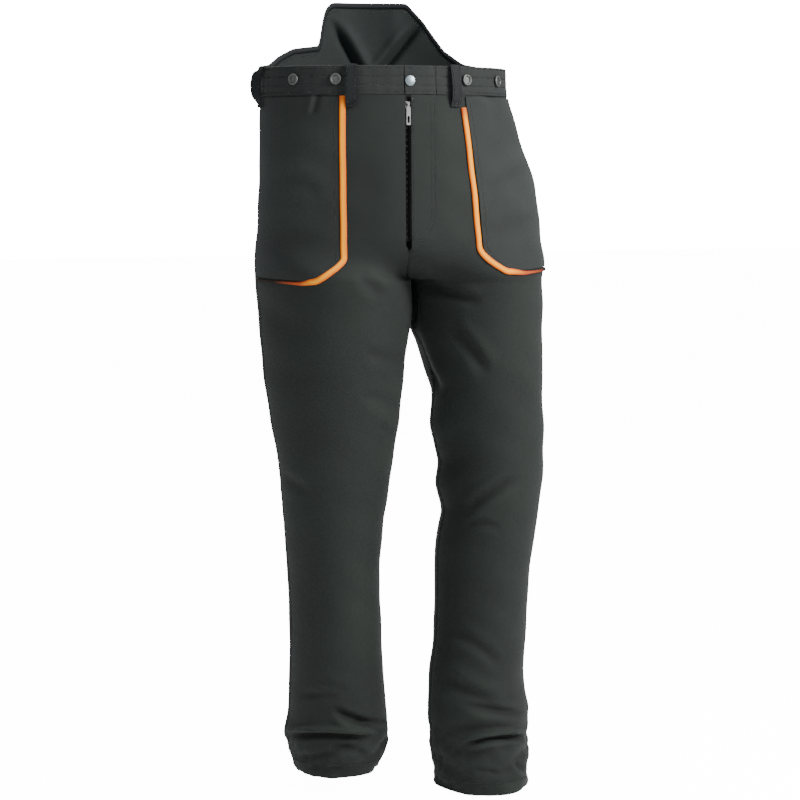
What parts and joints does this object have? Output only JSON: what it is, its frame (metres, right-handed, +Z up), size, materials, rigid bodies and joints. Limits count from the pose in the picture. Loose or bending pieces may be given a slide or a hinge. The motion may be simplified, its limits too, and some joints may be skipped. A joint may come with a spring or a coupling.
{
  "type": "chainsaw protective trousers",
  "caption": "Protective work trousers with cut-resistant leg pads, a raised back, belt loops, brace buttons, piped pockets and a zipped fly with a press stud.",
  "frame": {"origin": "centre of the waist opening at the top edge of the waistband", "axes": "+Z up towards the raised back's top edge, -Y to the wearer's front, +X to the wearer's left"},
  "size_m": [0.4281, 0.3016, 1.155],
  "materials": {
    "outer_cloth": "woven, matt",
    "dark_cloth": "woven, matt",
    "piping_cloth": "corded",
    "pocket_bag": "plain weave",
    "lining": "knitted mesh",
    "pad": "layered knitted fibre",
    "zip_tape": "woven tape",
    "zip_metal": "satin",
    "button_metal": "nickel plated",
    "stud_metal": "satin"
  },
  "bodies": {
    "waist_and_seat": {"waistband_right": "outer_cloth", "waistband_main": "outer_cloth", "back_rise_outer": "outer_cloth", "back_rise_lining": "lining", "back_rise_binding": "dark_cloth", "belt_loop_front_right": "dark_cloth", "belt_loop_front_left": "dark_cloth", "belt_loop_side_right": "dark_cloth", "belt_loop_side_left": "dark_cloth", "belt_loop_back": "dark_cloth", "front_panel_right": "outer_cloth", "front_panel_left": "outer_cloth", "seat_panel_right": "outer_cloth", "seat_panel_left": "outer_cloth", "pocket_panel_right": "outer_cloth", "pocket_panel_left": "outer_cloth", "pocket_piping_right": "piping_cloth", "pocket_piping_left": "piping_cloth", "pocket_bag_right": "pocket_bag", "pocket_bag_left": "pocket_bag", "fly_shield": "dark_cloth", "zip_tape_right": "zip_tape", "zip_tape_left": "zip_tape", "zip_teeth": "zip_metal", "zip_stops": "zip_metal", "brace_buttons": "button_metal", "brace_button_tacks": "button_metal", "stud_base": "stud_metal", "stud_post": "stud_metal", "thigh_sleeve_right": "outer_cloth", "thigh_sleeve_left": "outer_cloth"},
    "fly_cover": {"fly_flap": "outer_cloth", "waistband_tab": "outer_cloth", "stud_cap": "stud_metal", "stud_socket": "stud_metal"},
    "zip_slider_body": {"zip_slider": "zip_metal"},
    "zip_puller_body": {"zip_puller": "zip_metal"},
    "thigh_right": {"thigh_front_right": "outer_cloth", "thigh_back_right": "outer_cloth", "thigh_pad_right": "pad", "thigh_lining_right": "lining", "knee_sleeve_right": "outer_cloth"},
    "shin_right": {"shin_front_right": "outer_cloth", "shin_back_right": "outer_cloth", "shin_pad_right": "pad", "shin_lining_right": "lining", "hem_right_cuff": "outer_cloth"},
    "thigh_left": {"thigh_front_left": "outer_cloth", "thigh_back_left": "outer_cloth", "thigh_pad_left": "pad", "thigh_lining_left": "lining", "knee_sleeve_left": "outer_cloth"},
    "shin_left": {"shin_front_left": "outer_cloth", "shin_back_left": "outer_cloth", "shin_pad_left": "pad", "shin_lining_left": "lining", "hem_left_cuff": "outer_cloth"}
  },
  "joints": [
    {"name": "fly_cover_open", "type": "hinge", "parent": "waist_and_seat", "child": "fly_cover", "pos_m": [0.0386, -0.1335, -0.04], "axis": [0.0258, 0.1264, 0.9916], "range_deg": [0, 95]},
    {"name": "zip_slide", "type": "slide", "parent": "waist_and_seat", "child": "zip_slider_body", "axis": [-0.0258, -0.1113, -0.9935], "range_m": [0, 0.174]},
    {"name": "zip_puller_swing", "type": "hinge", "parent": "zip_slider_body", "child": "zip_puller_body", "pos_m": [-0.0033, -0.1341, -0.05165], "axis": [-1, 0, 0], "range_deg": [0, 120]},
    {"name": "hip_right", "type": "hinge", "parent": "waist_and_seat", "child": "thigh_right", "pos_m": [0, -0.002, -0.391], "axis": [-1, 0, 0], "range_deg": [-10, 45], "stiffness_Nm_per_rad": 1.5, "deforming": ["thigh_sleeve_right"]},
    {"name": "knee_right", "type": "hinge", "parent": "thigh_right", "child": "shin_right", "pos_m": [0, 0.004, -0.6], "axis": [1, 0, 0], "range_deg": [0, 65], "stiffness_Nm_per_rad": 0.8, "deforming": ["knee_sleeve_right"]},
    {"name": "hip_left", "type": "hinge", "parent": "waist_and_seat", "child": "thigh_left", "pos_m": [0, -0.046, -0.391], "axis": [-1, 0, 0], "range_deg": [-10, 45], "stiffness_Nm_per_rad": 1.5, "deforming": ["thigh_sleeve_left"]},
    {"name": "knee_left", "type": "hinge", "parent": "thigh_left", "child": "shin_left", "pos_m": [0, -0.054, -0.6], "axis": [1, 0, 0], "range_deg": [0, 65], "stiffness_Nm_per_rad": 0.8, "deforming": ["knee_sleeve_left"]}
  ]
}
